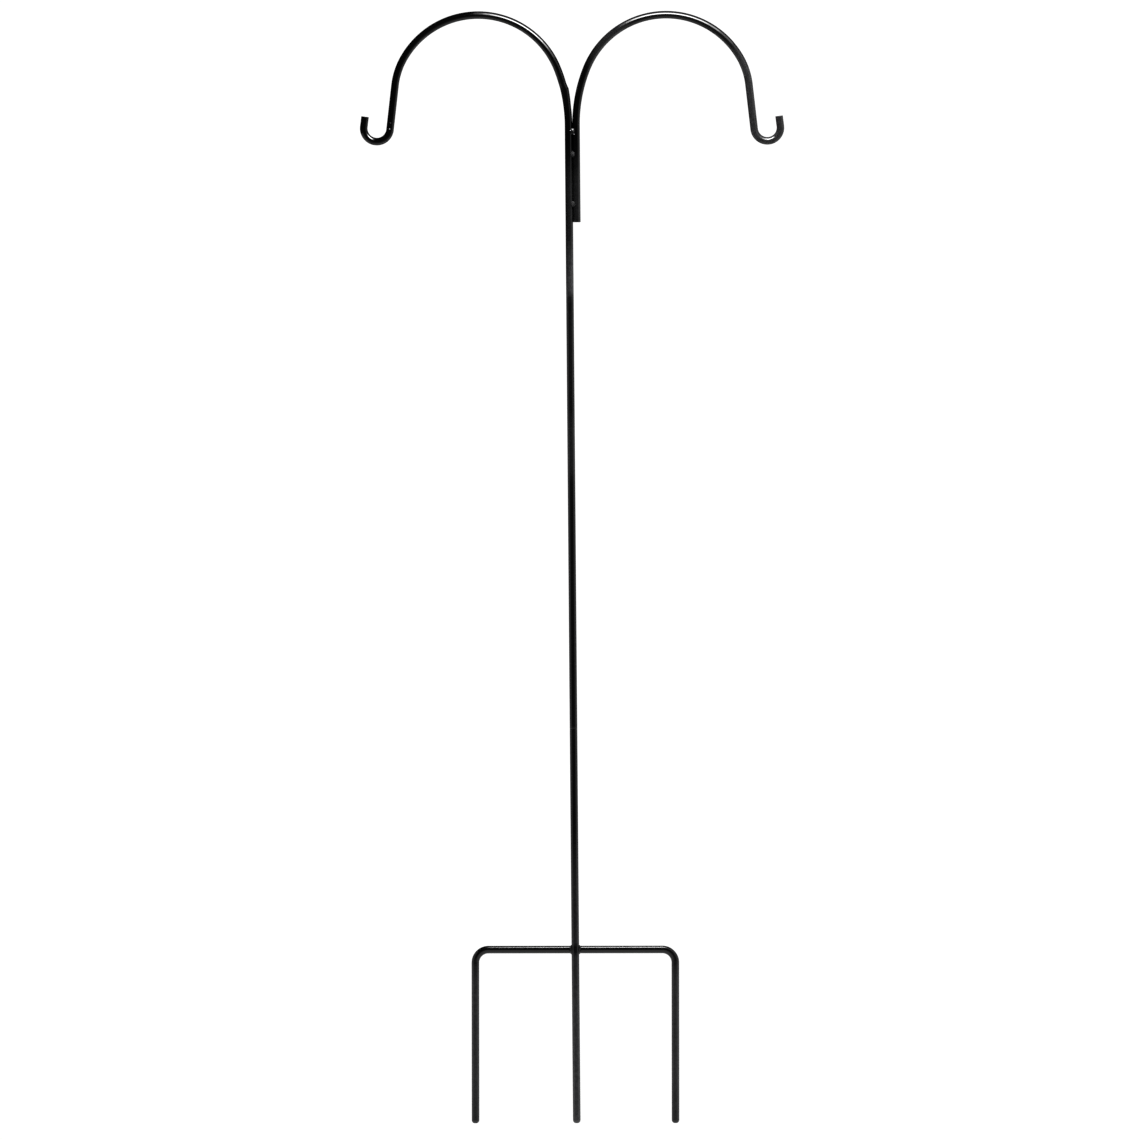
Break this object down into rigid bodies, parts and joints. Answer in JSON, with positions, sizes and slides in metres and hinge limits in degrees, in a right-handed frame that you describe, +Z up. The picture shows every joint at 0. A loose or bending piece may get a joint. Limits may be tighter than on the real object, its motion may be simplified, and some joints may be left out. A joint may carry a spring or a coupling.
{
  "type": "double shepherd's hook",
  "caption": "Garden shepherd's hook: tall round steel pole, arched arms that end in small upturned hooks, plug-together joint and a tined ground fork, for hanging plants.",
  "frame": {"origin": "on the pole's axis at ground level, the height of the underside of the fork's crossbar", "axes": "+Z up the pole, +X towards the right arm as pictured, +Y to the back, where the fork bar is"},
  "size_m": [0.7362, 0.0269, 1.9325],
  "materials": {
    "black_powder_coat": "gloss black powder coat on steel rod",
    "bare_steel": "plain drawn steel pin, oiled"
  },
  "bodies": {
    "lower_section": {"lower_pole": "black_powder_coat", "fork_bar": "black_powder_coat", "fork_weld_left": "black_powder_coat", "fork_weld_right": "black_powder_coat"},
    "pin": {"connector_pin": "bare_steel"},
    "upper_section": {"upper_pole": "black_powder_coat", "right_arm": "black_powder_coat", "arm_weld_top": "black_powder_coat", "arm_weld_middle": "black_powder_coat", "arm_weld_bottom": "black_powder_coat"}
  },
  "joints": [
    {"name": "pole_turn", "type": "hinge", "parent": "lower_section", "child": "pin", "pos_m": [0, 0, 0.3895], "axis": [0, 0, 1], "continuous": true},
    {"name": "pole_lift", "type": "slide", "parent": "pin", "child": "upper_section", "axis": [0, 0, 1], "range_m": [0, 0.03]}
  ]
}
